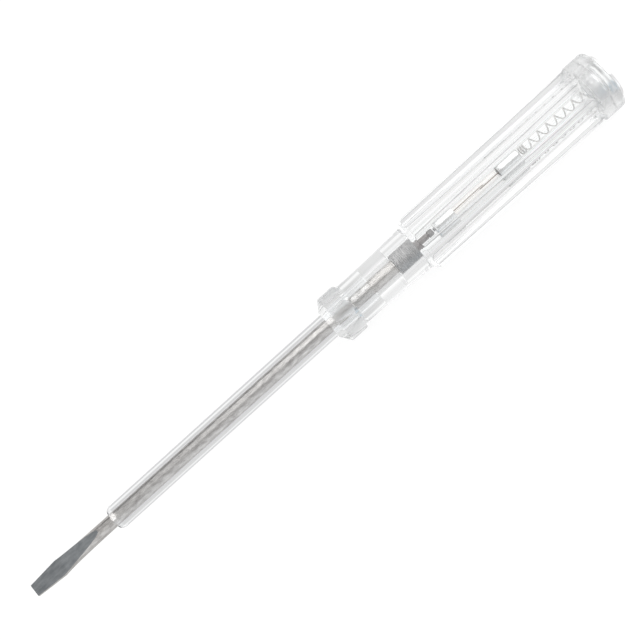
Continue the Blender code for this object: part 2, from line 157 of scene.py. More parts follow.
# Uneven tone: patches from 0 to 1, stretched along the tool by a factor
uneven, given, result = new_group(
    "uneven_tone", "ShaderNodeTree", {"Scale": 900.0, "Stretch": 1.0, "Detail": 3.0},
    ("Tone", "NodeSocketFloat"))
place = put(uneven, "ShaderNodeTexCoord").outputs["Object"]
along, across, up = put(uneven, "ShaderNodeSeparateXYZ", Vector=place).outputs[:3]
shrunk = maths(uneven, "DIVIDE", along, given["Stretch"])
place = put(uneven, "ShaderNodeCombineXYZ", X=shrunk, Y=across, Z=up).outputs[0]
noise = put(uneven, "ShaderNodeTexNoise", Vector=place, Scale=given["Scale"], Detail=given["Detail"])
spread = put(
    uneven, "ShaderNodeMapRange", Value=noise.outputs[0], From_Min=noise_low, From_Max=noise_high)
uneven.links.new(spread.outputs[0], result["Tone"])


def tone(tree, scale, stretch=1.0, detail=3.0):
    """Places the uneven tone group in a material and returns its mask."""
    mask = put(
        tree, "ShaderNodeGroup", {"node_tree": uneven}, Scale=scale, Stretch=stretch, Detail=detail)
    return mask.outputs["Tone"]


def ranged(tree, mask, low, high):
    """A 0 to 1 mask spread between two values."""
    return put(tree, "ShaderNodeMapRange", Value=mask, To_Min=low, To_Max=high).outputs[0]


def blended(tree, mask, first, second):
    """A colour from the first at mask 0 to the second at mask 1."""
    return put(
        tree, "ShaderNodeMix", {"data_type": "RGBA"}, at0=mask, at6=first, at7=second).outputs[2]


def bumped(tree, height, distance):
    """The normal of a surface raised by a height mask over a distance in metres."""
    return put(tree, "ShaderNodeBump", Height=height, Distance=distance, Strength=1.0).outputs[0]


def new_material(name, metallic=0.0, transmission=0.0, ior=1.5):
    """A material and its Principled shader with its constant values."""
    material = bpy.data.materials.new(name)
    material.use_nodes = True
    shader = material.node_tree.nodes["Principled BSDF"]
    shader.inputs["Metallic"].default_value = metallic
    shader.inputs["Transmission Weight"].default_value = transmission
    shader.inputs["IOR"].default_value = ior
    return material, material.node_tree, shader


def metal(name, light, dark, smooth, rough, scale, stretch=1.0, scratch=0.000002):
    """A metal whose tone and roughness vary in patches, with fine lines drawn along the tool."""
    material, tree, shader = new_material(name, metallic=1.0)
    patches = tone(tree, scale, stretch)
    lines = tone(tree, scale * line_fineness, stretch=12.0, detail=2.0)
    worn = tone(tree, scale * wear_fineness, stretch)
    tree.links.new(blended(tree, patches, dark, light), shader.inputs["Base Color"])
    tree.links.new(ranged(tree, worn, smooth, rough), shader.inputs["Roughness"])
    tree.links.new(bumped(tree, lines, scratch), shader.inputs["Normal"])
    return material


def flare_radius(along):
    """Half the width of the steel before it was ground, at a distance from the tip."""
    tip_radius = math.hypot(tip_width / 2, tip_thickness / 2)
    if along <= flare_from_tip:
        share = along / flare_from_tip
        return tip_radius + (flare_width / 2 - tip_radius) * share
    fade = math.exp(-(along - flare_from_tip) / flare_decay)
    return shaft_radius + (flare_width / 2 - shaft_radius) * fade


def half_thickness(along):
    """Distance of the ground face from the axis: a slight taper, then a slope out to the shaft."""
    if along <= face_knee:
        return (tip_thickness + (face_knee_thickness - tip_thickness) * along / face_knee) / 2
    share = (along - face_knee) / (face_runout - face_knee)
    return face_knee_thickness / 2 + (shaft_radius - face_knee_thickness / 2) * share


def blade_ring(along, radius):
    """A circle with a ground flat on two sides, its points denser on the flats' edges."""
    height = min(half_thickness(along), radius * math.cos(least_face_angle))
    edge = math.acos(height / radius)
    half_width = radius * math.sin(edge)
    ring = []
    for side in (0, math.pi):
        for i in range(flat_columns):
            across = half_width * (2 * i / flat_columns - 1)
            ring.append(about_axis(tip_x + along, math.hypot(height, across),
                                   face_turn + side + math.atan2(across, height)))
        for i in range(flank_columns):
            angle = edge + (math.pi - 2 * edge) * i / flank_columns
            ring.append(about_axis(tip_x + along, radius, face_turn + side + angle))
    return ring


blade_length = blade_high.x - blade_low.x
ground_length = face_runout + flare_decay
ground_steps = round(ground_length / blade_step)
blade_rings = [blade_ring(0, flare_radius(0) - tip_corner)]
blade_rings.append(blade_ring(tip_corner, flare_radius(tip_corner)))
for i in range(1, ground_steps + 1):
    along = ground_length * i / ground_steps
    blade_rings.append(blade_ring(along, flare_radius(along) if i < ground_steps else shaft_radius))
blade_rings.append(blade_ring(blade_length - tip_corner, shaft_radius))
blade_rings.append(blade_ring(blade_length, shaft_radius - tip_corner))
blade = skin("ground_blade", blade_rings, crease_angle=math.radians(20))
columns = 2 * (flat_columns + flank_columns)
ground = blade.data.attributes.new("ground", "FLOAT", "FACE")
for face in blade.data.polygons:
    on_side = (face.index % columns) % (flat_columns + flank_columns)
    ground.data[face.index].value = float(on_side < flat_columns and face.center.x < tip_x + face_runout)
blade_steel, tree, shader = new_material("blade_steel", metallic=1.0)
on_flat = put(tree, "ShaderNodeAttribute", {"attribute_name": "ground"}).outputs["Fac"]
steel_patches = tone(tree, scale=2000.0, stretch=3.0)
drawn_lines = tone(tree, scale=4000.0, stretch=14.0, detail=2.0)
drawn_tone = blended(tree, steel_patches, drawn_steel_dark, drawn_steel_light)
# The ground flats get the darker copy of the steel, painted shade of the dim room they mirror
shaded_ground_tone = blended(tree, steel_patches, shaded_ground_steel_dark, shaded_ground_steel_light)
tree.links.new(blended(tree, on_flat, drawn_tone, shaded_ground_tone), shader.inputs["Base Color"])
worn = tone(tree, scale=2500.0, stretch=3.0)
drawn_roughness = ranged(tree, worn, low=0.14, high=0.26)
ground_roughness = ranged(tree, worn, low=0.34, high=0.46)
roughness = put(tree, "ShaderNodeMix", at0=on_flat, at2=drawn_roughness, at3=ground_roughness).outputs[0]
tree.links.new(roughness, shader.inputs["Roughness"])
tree.links.new(bumped(tree, drawn_lines, distance=0.0000025), shader.inputs["Normal"])
blade.data.materials.append(blade_steel)
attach(blade, "handle")
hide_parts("blade")

# Insulating sleeve
# An extruded tube of clear soft plastic, pushed over the shaft. Its front end is rounded off, and its wall
# keeps the slow ripples of the extruder.
sleeve_low, sleeve_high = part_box("insulating_sleeve")
sleeve_front_radius = 0.00245
sleeve_rear_radius = 0.00253
sleeve_bore = 0.0015
sleeve_nose = 0.0013
sleeve_lip = 0.0001
sleeve_columns = 160
sleeve_steps = 160
nose_steps = 14
sleeve_tint = (0.98, 0.985, 0.99, 1)


def straight(share):
    """How far along and how far out a straight line is, at a share of its steps."""
    return share, share


def steep_first(share):
    """The same for a quarter ellipse that leaves its start square to the axis."""
    return 1 - math.cos(math.pi / 2 * share), math.sin(math.pi / 2 * share)


def flat_first(share):
    """The same for a quarter ellipse that leaves its start along the axis."""
    return math.sin(math.pi / 2 * share), 1 - math.cos(math.pi / 2 * share)


def outlined(start, *parts):
    """An outline of (x, radius) points: a start, then parts of a curve, its end point and its steps."""
    outline = [start]
    for curve, (end_x, end_radius), steps in parts:
        x, radius = outline[-1]
        for i in range(1, steps + 1):
            along, out = curve(i / steps)
            outline.append((x + (end_x - x) * along, radius + (end_radius - radius) * out))
    return outline


def turned(name, outline, columns, loop=False):
    """Turns an outline of (x, radius) points about the tool's axis."""
    turns = [2 * math.pi * (i + 0.5) / columns for i in range(columns)]
    return skin(name, [[about_axis(x, radius, turn) for turn in turns] for x, radius in outline], loop)


def clear_plastic(name, tint, roughness, ior, wave_scale, wave_height):
    """A clear plastic with the slow waves of a moulded or drawn surface."""
    material, tree, shader = new_material(name, transmission=1.0, ior=ior)
    shader.inputs["Base Color"].default_value = tint
    shader.inputs["Roughness"].default_value = roughness
    waves = tone(tree, wave_scale, stretch=4.0, detail=2.0)
    tree.links.new(bumped(tree, waves, wave_height), shader.inputs["Normal"])
    return material, tree, shader


sleeve_outline = outlined(
    (sleeve_low.x, sleeve_bore),
    (straight, (sleeve_low.x, sleeve_bore + sleeve_lip), 1),
    (steep_first, (sleeve_low.x + sleeve_nose, sleeve_front_radius), nose_steps),
    (straight, (sleeve_high.x, sleeve_rear_radius), sleeve_steps),
    (straight, (sleeve_high.x, sleeve_bore), 1),
    (straight, (sleeve_low.x, sleeve_bore), sleeve_steps))
sleeve = turned("clear_sleeve", sleeve_outline[:-1], sleeve_columns, loop=True)
sleeve_plastic = clear_plastic(
    "sleeve_plastic", sleeve_tint, roughness=0.02, ior=1.5, wave_scale=700.0, wave_height=0.0000008)[0]
sleeve.data.materials.append(sleeve_plastic)
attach(sleeve, "handle")
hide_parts("insulating_sleeve")

# Handle
# One clear moulding, with a scalloped collar in front, a plain neck, a grip with seven flutes and a round
# rear collar. A stepped bore holds the sleeve, the shaft, the lamp stack and the plug's thread.
handle_low, handle_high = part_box("handle")
handle_front = handle_low.x
handle_rear = handle_high.x
flute_count = 7
flute_radius = 0.0071
grip_front_radius = 0.00576
grip_rear_radius = 0.00593
grip_flute_front_width = 0.0028
grip_flute_rear_width = 0.0040
collar_radius = 0.00495
collar_lip = 0.0029
collar_nose = 0.0016
collar_bend = 0.0003
collar_bend_drop = 0.00012
collar_flat = 0.0032
collar_back = 0.0011
scoop_radius = 0.0040
scoop_slope = -0.10
scoop_floor_at = 0.0016
scoop_floor = 0.00478
scoop_clearance = 0.00003
least_scoop = 0.00004
neck_front_radius = 0.0043
neck_rear_radius = 0.00468
neck_length = 0.0150
shoulder_length = 0.00115
shoulder_round = 0.0003
grip_length = 0.0393
collar_rise = 0.00115
rear_collar_radius = 0.00619
rear_corner = 0.00105
flute_wall = 0.0009
edge_round = 0.0001
socket_radius = 0.00268
shaft_hole_radius = 0.0015
lamp_bore_radius = 0.0027
thread_bore_radius = 0.0031
recess_radius = 0.00378
socket_depth = 0.0104
shaft_hole_length = 0.0054
recess_depth = 0.00195
thread_depth = 0.00395
sector_columns = 32
edge_share = 0.55
edge_crowding = 1.7
widest_edge_cosine = 0.925
narrowest_edge_cosine = 0.9985
clear_tint = (0.985, 0.99, 0.99, 1)
# Grey of the painted shade lines on the flutes' crests
crest_painted_shade = 0.06
plain_haze = 0.01
scoop_haze = 0.42
thread_haze = 0.45
hole_haze = 0.25
rear_haze = 0.22
rear_haze_reach = 0.0012
face_margin = 0.0001

collar_flat_front = handle_front + collar_nose
collar_flat_rear = collar_flat_front + collar_flat
neck_front = collar_flat_rear + collar_back
neck_rear = neck_front + neck_length
grip_front = neck_rear + shoulder_length + shoulder_round
grip_rear = grip_front + grip_length
lamp_bore_front = handle_front + socket_depth + shaft_hole_length


def grey(level):
    """A neutral colour."""
    return level, level, level, 1


def eased(share):
    """How far along and how far out an S curve is, at a share of its steps."""
    return share, (1 - math.cos(math.pi * share)) / 2


def flaring(share):
    """The same for a line that starts flat and widens more and more."""
    return share, share ** 2


outside = [
    (straight, (handle_front, collar_lip), 1),
    (straight, (collar_flat_front - collar_bend, collar_radius - collar_bend_drop), 20),
    (steep_first, (collar_flat_front, collar_radius), 6),
    (straight, (collar_flat_rear, collar_radius), 28),
    (eased, (neck_front, neck_front_radius), 16),
    (flaring, (neck_rear, neck_rear_radius), 40),
    (eased, (neck_rear + shoulder_length, grip_front_radius - shoulder_round / 2), 20),
    (steep_first, (grip_front, grip_front_radius), 5),
    (straight, (grip_rear, grip_rear_radius), 60),
    (eased, (grip_rear + collar_rise, rear_collar_radius), 28),
    (straight, (handle_rear - rear_corner, rear_collar_radius), 6),
    (flat_first, (handle_rear, rear_collar_radius - rear_corner), 12),
]
bore = [
    (handle_rear, recess_radius),
    (handle_rear - recess_depth, recess_radius),
    (handle_rear - recess_depth, thread_bore_radius),
    (handle_rear - thread_depth, thread_bore_radius),
    (handle_rear - thread_depth, lamp_bore_radius),
    (lamp_bore_front, lamp_bore_radius),
    (lamp_bore_front, shaft_hole_radius),
    (handle_front + socket_depth, shaft_hole_radius),
    (handle_front + socket_depth, socket_radius),
]
inside = [(straight, point, 1) for point in bore]
handle_outline = outlined((handle_front, socket_radius), *outside, *inside)


# The flute cutter: a tree that takes the turned handle and cuts the grip's flutes and the collar's scoops.
# Each column of points is drawn towards the edge of its flute, so that the edges stay crisp.
def offset_for_width(body_radius, width):
    """Distance of a flute's own axis from the tool's axis, for a flute of that width."""
    half = width / 2
    return math.sqrt(body_radius ** 2 - half ** 2) + math.sqrt(flute_radius ** 2 - half ** 2)


def product(tree, *values):
    """The output of Math nodes that multiply all the values."""
    return functools.reduce(functools.partial(maths, tree, "MULTIPLY"), values)


def point_place(tree):
    """The x, y and z of each point in a geometry tree."""
    place = put(tree, "GeometryNodeInputPosition").outputs[0]
    return put(tree, "ShaderNodeSeparateXYZ", Vector=place).outputs


def distance_from_axis(tree, across, lifted):
    """The distance of a point from the tool's axis, from its place beside and above it."""
    squares = maths(tree, "ADD", product(tree, across, across), product(tree, lifted, lifted))
    return maths(tree, "SQRT", squares)


def end_tree(tree, last_node, given, result):
    """Ends a geometry tree with plain geometry in its own material."""
    realized = put(tree, "GeometryNodeRealizeInstances", Geometry=last_node.outputs[0])
    finished = put(tree, "GeometryNodeSetMaterial", Geometry=realized.outputs[0], Material=given["Material"])
    tree.links.new(finished.outputs[0], result["Geometry"])


cutter, given, result = new_group(
    "flute_cutter", "GeometryNodeTree",
    {
        "Geometry": "NodeSocketGeometry",
        "Flute Count": float(flute_count),
        "Flute Radius": flute_radius,
        "Front Offset": offset_for_width(grip_front_radius, grip_flute_front_width),
        "Rear Offset": offset_for_width(grip_rear_radius, grip_flute_rear_width),
        "Grip Front": grip_front,
        "Grip Rear": grip_rear,
        "Wall Length": flute_wall,
        "Scoop Radius": scoop_radius,
        "Scoop Start": handle_front + scoop_floor_at,
        "Scoop Floor": scoop_floor,
        "Scoop Slope": scoop_slope,
        "Scoop Least Floor": neck_front_radius + scoop_clearance,
        "Scoop End": neck_front,
        "Edge Round": edge_round,
        "Axis Height": axis_height,
        "Material": "NodeSocketMaterial",
    },
    ("Geometry", "NodeSocketGeometry"),
)
cut = functools.partial(maths, cutter)
x, y, z = point_place(cutter)
lifted = cut("SUBTRACT", z, given["Axis Height"])
plain_radius = distance_from_axis(cutter, y, lifted)
angle = cut("ARCTAN2", y, lifted)
half_sector = cut("DIVIDE", math.pi, given["Flute Count"])
sector = cut("MULTIPLY", half_sector, 2.0)
turns = cut("DIVIDE", cut("SUBTRACT", angle, half_sector), sector)
middle = cut("ADD", cut("MULTIPLY", cut("ROUND", turns), sector), half_sector)
local = cut("SUBTRACT", angle, middle)
side = cut("SIGN", local)
share = cut("DIVIDE", cut("ABSOLUTE", local), half_sector)

grip_span = cut("SUBTRACT", given["Grip Rear"], given["Grip Front"])
grip_share = cut("DIVIDE", cut("SUBTRACT", x, given["Grip Front"]), grip_span)
offset_span = cut("SUBTRACT", given["Rear Offset"], given["Front Offset"])
grip_offset = cut("MULTIPLY_ADD", offset_span, grip_share, given["Front Offset"])
scoop_run = cut("SUBTRACT", x, given["Scoop Start"])
scoop_line = cut("MULTIPLY_ADD", scoop_run, given["Scoop Slope"], given["Scoop Floor"])
scoop_low = cut("SMOOTH_MAX", scoop_line, given["Scoop Least Floor"], given["Edge Round"])
scoop_offset = cut("ADD", scoop_low, given["Scoop Radius"])
on_collar = cut("LESS_THAN", x, given["Scoop End"])
on_grip = cut("SUBTRACT", 1.0, on_collar)


def either(collar_value, grip_value):
    """The collar's value on the collar and the grip's value behind it."""
    return cut("MULTIPLY_ADD", collar_value, on_collar, cut("MULTIPLY", grip_value, on_grip))


offset = either(scoop_offset, grip_offset)
bar_radius = either(given["Scoop Radius"], given["Flute Radius"])
bar_square = product(cutter, bar_radius, bar_radius)
squares = cut("ADD", product(cutter, plain_radius, plain_radius), product(cutter, offset, offset))
edge_cosine = cut("DIVIDE", cut("SUBTRACT", squares, bar_square), product(cutter, plain_radius, offset, 2.0))
edge_cosine = cut("MAXIMUM", cut("MINIMUM", edge_cosine, narrowest_edge_cosine), widest_edge_cosine)
edge = cut("ARCCOSINE", edge_cosine)
inner_part = cut("MINIMUM", cut("DIVIDE", share, edge_share), 1.0)
inner_left = cut("POWER", cut("SUBTRACT", 1.0, inner_part), edge_crowding)
inner_angle = cut("MULTIPLY", edge, cut("SUBTRACT", 1.0, inner_left))
outer_part = cut("MAXIMUM", cut("DIVIDE", cut("SUBTRACT", share, edge_share), 1 - edge_share), 0.0)
outer_run = cut("POWER", outer_part, edge_crowding)
outer_angle = cut("MULTIPLY", outer_run, cut("SUBTRACT", half_sector, edge))
drawn = cut("ADD", inner_angle, outer_angle)
drawn_angle = cut("MULTIPLY_ADD", drawn, side, middle)

reach = cut("MULTIPLY", offset, cut("SINE", drawn))
inside = cut("SUBTRACT", bar_square, product(cutter, reach, reach))
depth = cut("SQRT", cut("MAXIMUM", inside, 0.0))
cut_radius = cut("SUBTRACT", cut("MULTIPLY", offset, cut("COSINE", drawn)), depth)
cut_radius = cut("ADD", cut_radius, cut("LESS_THAN", inside, 0.0))
trimmed = cut("SMOOTH_MIN", plain_radius, cut_radius, given["Edge Round"])
wall_share = put(
    cutter, "ShaderNodeMapRange", {"interpolation_type": "SMOOTHSTEP"}, Value=x,
    From_Min=given["Grip Rear"], From_Max=cut("ADD", given["Grip Rear"], given["Wall Length"])).outputs[0]
kept = cut("SUBTRACT", plain_radius, trimmed)
new_radius = cut("MULTIPLY_ADD", kept, wall_share, trimmed)
moved = put(
    cutter, "ShaderNodeCombineXYZ", X=x, Y=cut("MULTIPLY", new_radius, cut("SINE", drawn_angle)),
    Z=cut("MULTIPLY_ADD", new_radius, cut("COSINE", drawn_angle), given["Axis Height"]))
scooped = cut("MULTIPLY", on_collar, cut("GREATER_THAN", kept, least_scoop))

# The rounding takes a sixth of its own size off a crest, so this mask is 1 on the flutes' crests, where the
# plastic is painted dark as painted shade lines along the flute edges
crest = cut("DIVIDE", cut("SUBTRACT", cut("MINIMUM", plain_radius, cut_radius), trimmed), edge_round / 6)
crest_shade_mask = product(cutter, crest, on_grip, cut("SUBTRACT", 1.0, wall_share))
marked = given["Geometry"]
for name, mask in (("scooped", scooped), ("crest", crest_shade_mask)):
    marked = put(
        cutter, "GeometryNodeStoreNamedAttribute", {"data_type": "FLOAT", "domain": "POINT"},
        Geometry=marked, Name=name, Value=mask).outputs[0]
placed = put(cutter, "GeometryNodeSetPosition", Geometry=marked, Position=moved.outputs[0])
end_tree(cutter, placed, given, result)


def run_tree(piece, tree, values):
    """Runs a tree on a piece, with values for some of its named inputs, and leaves a plain mesh."""
    modifier = piece.modifiers.new(tree.name, "NODES")
    modifier.node_group = tree
    for item in tree.interface.items_tree:
        if item.in_out == "INPUT" and item.name in values:
            modifier[item.identifier] = values[item.name]
    bpy.context.view_layer.update()
    graph = bpy.context.evaluated_depsgraph_get()
    made = bpy.data.meshes.new_from_object(piece.evaluated_get(graph))
    made.name = piece.name
    piece.modifiers.clear()
    piece.data = made
    return piece


handle_plastic, tree, shader = clear_plastic(
    "clear_plastic", clear_tint, plain_haze, ior=1.49, wave_scale=350.0, wave_height=0.0000001)
place = put(tree, "ShaderNodeTexCoord").outputs["Object"]
x, y, z = put(tree, "ShaderNodeSeparateXYZ", Vector=place).outputs
from_axis = distance_from_axis(tree, y, maths(tree, "SUBTRACT", z, axis_height))
in_thread = product(
    tree, maths(tree, "GREATER_THAN", x, handle_rear - thread_depth - face_margin),
    maths(tree, "LESS_THAN", from_axis, recess_radius - 2 * face_margin))
in_hole = maths(tree, "LESS_THAN", from_axis, shaft_hole_radius + face_margin)
on_rear = maths(tree, "GREATER_THAN", x, grip_rear - rear_haze_reach)
in_scoop = put(tree, "ShaderNodeAttribute", {"attribute_name": "scooped"}).outputs["Fac"]
haze = plain_haze
for mask, amount in (
    (in_scoop, scoop_haze), (in_thread, thread_haze), (in_hole, hole_haze), (on_rear, rear_haze),
):
    haze = maths(tree, "MAXIMUM", haze, maths(tree, "MULTIPLY", mask, amount))
tree.links.new(haze, shader.inputs["Roughness"])
# The flutes' crests are painted nearly black in the clear plastic: painted shade lines along the flute edges
crest = put(tree, "ShaderNodeAttribute", {"attribute_name": "crest"}).outputs["Fac"]
tree.links.new(blended(tree, crest, clear_tint, grey(crest_painted_shade)), shader.inputs["Base Color"])
handle = turned("clear_handle", handle_outline, flute_count * sector_columns, loop=True)
run_tree(handle, cutter, {"Material": handle_plastic})
handle.data.shade_smooth()
handle.data.set_sharp_from_angle(angle=math.radians(50))
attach(handle, "handle")
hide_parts("handle")

# Shaft bush
# A short steel tube, turned with close rings to grip, pressed on the shaft's rear end. It stops on the floor
# of the lamp bore and carries the current from the shaft to the resistor.
bush_low, bush_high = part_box("shaft_bush")
bush_radius = 0.0022
ring_count = 15
ring_depth = 0.00014
ring_steps = 8
bush_columns = 96

bush_tree, given, result = new_group(
    "ringed_tube", "GeometryNodeTree",
    {
        "Geometry": "NodeSocketGeometry",
        "Ring Count": float(ring_count),
        "Ring Depth": ring_depth,
        "Front": bush_low.x,
        "Rear": bush_high.x,
        "Radius": bush_radius,
        "Axis Height": axis_height,
        "Material": "NodeSocketMaterial",
    },
    ("Geometry", "NodeSocketGeometry"),
)
ring = functools.partial(maths, bush_tree)
x, y, z = point_place(bush_tree)
span = ring("SUBTRACT", given["Rear"], given["Front"])
run = ring("DIVIDE", ring("SUBTRACT", x, given["Front"]), span)
phase = product(bush_tree, run, given["Ring Count"], 2 * math.pi)
wave = ring("MULTIPLY_ADD", ring("COSINE", phase), 0.5, 0.5)
lost = ring("MULTIPLY", wave, given["Ring Depth"])
factor = ring("SUBTRACT", 1.0, ring("DIVIDE", lost, given["Radius"]))
lifted = ring("SUBTRACT", z, given["Axis Height"])


def scaled(tree, given, x, y, lifted, factor):
    """The given geometry, with each point's distance from the tool's axis times a factor."""
    moved = put(
        tree, "ShaderNodeCombineXYZ", X=x, Y=maths(tree, "MULTIPLY", y, factor),
        Z=maths(tree, "MULTIPLY_ADD", lifted, factor, given["Axis Height"]))
    return put(tree, "GeometryNodeSetPosition", Geometry=given["Geometry"], Position=moved.outputs[0])


end_tree(bush_tree, scaled(bush_tree, given, x, y, lifted, factor), given, result)

bush_outline = outlined(
    (bush_low.x, shaft_hole_radius),
    (straight, (bush_low.x, bush_radius), 1),
    (straight, (bush_high.x, bush_radius), ring_count * ring_steps),
    (straight, (bush_high.x, shaft_hole_radius), 1))
bush = turned("ringed_bush", bush_outline, bush_columns, loop=True)
bush_steel = metal(
    "bush_steel", (0.64, 0.63, 0.63, 1), (0.42, 0.42, 0.425, 1),
    smooth=0.28, rough=0.45, scale=700.0, stretch=0.12)
run_tree(bush, bush_tree, {"Material": bush_steel})
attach(bush, "handle")
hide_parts("shaft_bush")

# Resistor
# A quarter watt resistor that limits the current: a ceramic rod under dark brown lacquer, with a pressed
# metal cap at each end. It lies loose in the bore, between the shaft and the lamp.
rod_low, rod_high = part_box("resistor_body")
resistor_low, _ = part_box("resistor_front_cap")
_, resistor_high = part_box("resistor_rear_cap")
rod_radius = 0.00112
resistor_cap_radius = 0.00128
resistor_cap_length = 0.0011
resistor_cap_wall = 0.00018
resistor_cap_round = 0.0003
fit_gap = 0.00015
pole_radius = 0.0002
small_columns = 96
lacquer_dark = (0.27, 0.245, 0.245, 1)
lacquer_light = (0.42, 0.39, 0.39, 1)
lacquer_coat = 0.3


def cup_outline(closed_x, open_x, radius, wall, corner):
    """The outline of a pressed cap: its closed end first, then its rim and its inside."""
    way = 1 if open_x > closed_x else -1
    return outlined(
        (closed_x, pole_radius),
        (straight, (closed_x, radius - corner), 1),
        (steep_first, (closed_x + way * corner, radius), 8),
        (straight, (open_x - way * wall / 2, radius), 4),
        (flat_first, (open_x, radius - wall / 2), 4),
        (straight, (open_x, radius - wall), 1),
        (straight, (closed_x + way * wall, radius - wall), 1),
        (straight, (closed_x + way * wall, pole_radius), 1))


lacquer, tree, shader = new_material("resistor_lacquer")
lacquer_patches = tone(tree, scale=1400.0)
lacquer_tone = blended(tree, lacquer_patches, lacquer_dark, lacquer_light)
tree.links.new(lacquer_tone, shader.inputs["Base Color"])
tree.links.new(ranged(tree, lacquer_patches, low=0.28, high=0.45), shader.inputs["Roughness"])
tree.links.new(bumped(tree, tone(tree, scale=2500.0), distance=0.00001), shader.inputs["Normal"])
shader.inputs["Coat Weight"].default_value = lacquer_coat
journal = resistor_cap_radius - resistor_cap_wall - fit_gap
step = resistor_cap_length - resistor_cap_wall
rod_outline = outlined(
    (rod_low.x, pole_radius),
    (straight, (rod_low.x, journal), 1),
    (straight, (rod_low.x + step, journal), 1),
    (steep_first, (rod_low.x + step + fit_gap, rod_radius), 5),
    (straight, (rod_high.x - step - fit_gap, rod_radius), 12),
    (flat_first, (rod_high.x - step, journal), 5),
    (straight, (rod_high.x, journal), 1),
    (straight, (rod_high.x, pole_radius), 1))
rod = turned("resistor_rod", rod_outline, small_columns)
rod.data.materials.append(lacquer)
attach(rod, "handle")
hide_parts("resistor_body")

cap_metal = metal(
    "resistor_cap_metal", (0.42, 0.41, 0.41, 1), (0.26, 0.25, 0.25, 1),
    smooth=0.3, rough=0.5, scale=1500.0)
for name, node, closed_x, way in (
    ("resistor_cap_front", "resistor_front_cap", resistor_low.x, 1),
    ("resistor_cap_rear", "resistor_rear_cap", resistor_high.x, -1),
):
    open_x = closed_x + way * resistor_cap_length
    outline = cup_outline(closed_x, open_x, resistor_cap_radius, resistor_cap_wall, resistor_cap_round)
    cap = turned(name, outline, small_columns)
    cap.data.materials.append(cap_metal)
    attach(cap, "handle")
    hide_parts(node)

# Neon lamp
# A glass tube with a bright plated cap on each end. Two thin coated rods stand in it side by side, one from
# each end, and a dot of solder closes each cap and makes the contact.
front_cap_low, front_cap_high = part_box("lamp_front_cap")
rear_cap_low, rear_cap_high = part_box("lamp_rear_cap")
glass_low, glass_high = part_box("lamp_glass")
lamp_cap_radius = 0.0020
lamp_cap_wall = 0.00012
lamp_cap_round = 0.00035
glass_radius = 0.00173
glass_wall = 0.00035
glass_hole = 0.00037
glass_shoulder = 0.0007
lamp_columns = 128
glass_tint = (0.965, 0.953, 0.942, 1)

glass, tree, shader = new_material("lamp_glass_clear", transmission=1.0, ior=1.5)
shader.inputs["Base Color"].default_value = glass_tint
shader.inputs["Roughness"].default_value = 0.0
glass_waves = tone(tree, scale=500.0, stretch=6.0, detail=1.0)
tree.links.new(bumped(tree, glass_waves, distance=0.000003), shader.inputs["Normal"])
glass_bore = glass_radius - glass_wall
glass_outline = outlined(
    (glass_low.x, glass_hole),
    (steep_first, (glass_low.x + glass_shoulder, glass_radius), 12),
    (straight, (glass_high.x - glass_shoulder, glass_radius), 30),
    (flat_first, (glass_high.x, glass_hole), 12),
    (straight, (glass_high.x - glass_wall, glass_hole), 1),
    (steep_first, (glass_high.x - glass_shoulder - glass_wall, glass_bore), 12),
    (straight, (glass_low.x + glass_shoulder + glass_wall, glass_bore), 30),
    (flat_first, (glass_low.x + glass_wall, glass_hole), 12))
lamp_tube = turned("lamp_tube", glass_outline, lamp_columns, loop=True)
lamp_tube.data.materials.append(glass)
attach(lamp_tube, "handle")
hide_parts("lamp_glass")

plated = metal(
    "lamp_cap_metal", grey(0.82), grey(0.72),
    smooth=0.12, rough=0.25, scale=1200.0)
for name, node, closed_x, open_x in (
    ("lamp_cap_front", "lamp_front_cap", front_cap_low.x, front_cap_high.x),
    ("lamp_cap_rear", "lamp_rear_cap", rear_cap_high.x, rear_cap_low.x),
):
    outline = cup_outline(closed_x, open_x, lamp_cap_radius, lamp_cap_wall, lamp_cap_round)
    cap = turned(name, outline, lamp_columns)
    cap.data.materials.append(plated)
    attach(cap, "handle")
    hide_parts(node)

electrode_metal = metal(
    "electrode_metal", (0.50, 0.43, 0.39, 1), (0.34, 0.28, 0.25, 1),
    smooth=0.35, rough=0.55, scale=2500.0)
electrode_radius = 0.00020
electrode_offset = 0.00030
electrode_lead = 0.0022
electrode_bend = 0.0012
electrode_columns = 20
electrode_steps = 48
electrode_end_share = 0.1
for name, node, side, way in (
    ("electrode_front", "lamp_front_electrode", 1, 1),
    ("electrode_rear", "lamp_rear_electrode", -1, -1),
):
    low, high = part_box(node)
    start, end = (low.x, high.x) if way > 0 else (high.x, low.x)
    rings = []
    for i in range(electrode_steps + 1):
        along = abs(end - start) * i / electrode_steps
        share = min(max((along - electrode_lead) / electrode_bend, 0), 1)
        swing = side * electrode_offset * (1 - math.cos(math.pi * share)) / 2
        left = abs(end - start) - along
        radius = electrode_radius * math.sqrt(min(1, electrode_end_share + left / electrode_radius))
        rings.append([
            (start + way * along, swing + radius * math.sin(turn), axis_height + radius * math.cos(turn))
            for turn in (2 * math.pi * j / electrode_columns for j in range(electrode_columns))
        ])
    rod = skin(name, rings)
    rod.data.materials.append(electrode_metal)
    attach(rod, "handle")
    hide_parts(node)

solder_metal = metal(
    "solder_metal", (0.70, 0.70, 0.71, 1), (0.55, 0.55, 0.56, 1),
    smooth=0.25, rough=0.45, scale=2000.0)
solder_radius = 0.0007
solder_pole = 0.00008
solder_columns = 48
for name, node, way in (("solder_front", "lamp_front_solder", 1), ("solder_rear", "lamp_rear_solder", -1)):
    low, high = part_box(node)
    outer, seat = (low.x, high.x) if way > 0 else (high.x, low.x)
    outline = outlined(
        (outer, solder_pole), (steep_first, (seat, solder_radius), 8), (straight, (seat, solder_pole), 1))
    dot = turned(name, outline, solder_columns)
    dot.data.materials.append(solder_metal)
    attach(dot, "handle")
    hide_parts(node)

